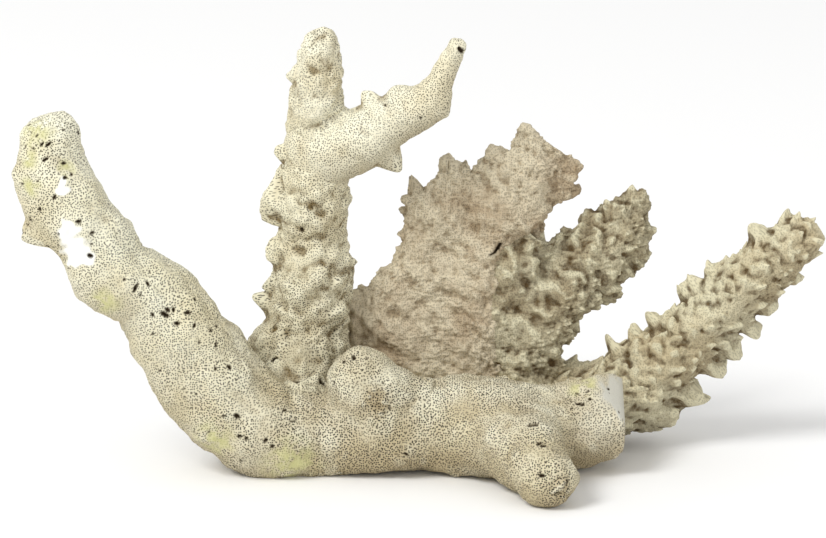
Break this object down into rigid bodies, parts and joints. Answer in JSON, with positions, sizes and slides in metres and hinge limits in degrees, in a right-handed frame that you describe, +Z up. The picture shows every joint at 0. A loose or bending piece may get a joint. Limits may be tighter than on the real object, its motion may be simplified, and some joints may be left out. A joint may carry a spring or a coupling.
{
  "type": "branching coral",
  "caption": "Dry branching stony coral: a smooth bent arm and trunk, knobbly upright and slanting branches and a toothed fan, cut flat underneath to stand.",
  "frame": {"origin": "on the flat cut underneath, under the middle of the trunk, level with the surface that the coral stands on", "axes": "+X to the right of the front view, along the trunk, +Y away from the front view, +Z up"},
  "size_m": [0.2552, 0.0897, 0.1398],
  "materials": {
    "smooth_coral": "matt, finely pored",
    "worn_coral": "matt, worn smooth",
    "column_coral": "matt, ridged with cups",
    "pale_tip_coral": "matt, finely pored",
    "fan_coral": "matt, low lumps",
    "knobbly_coral": "matt, knobbly"
  },
  "bodies": {
    "root": {"left_arm": "smooth_coral", "trunk": "smooth_coral", "front_foot": "smooth_coral", "cut_stub": "worn_coral", "column": "column_coral", "column_top": "pale_tip_coral", "side_branch": "pale_tip_coral", "fan_plate": "fan_coral", "fan_left_lobe": "fan_coral", "fan_middle_lobe": "fan_coral", "fan_right_lobe": "knobbly_coral", "right_branch": "knobbly_coral"}
  },
  "joints": []
}
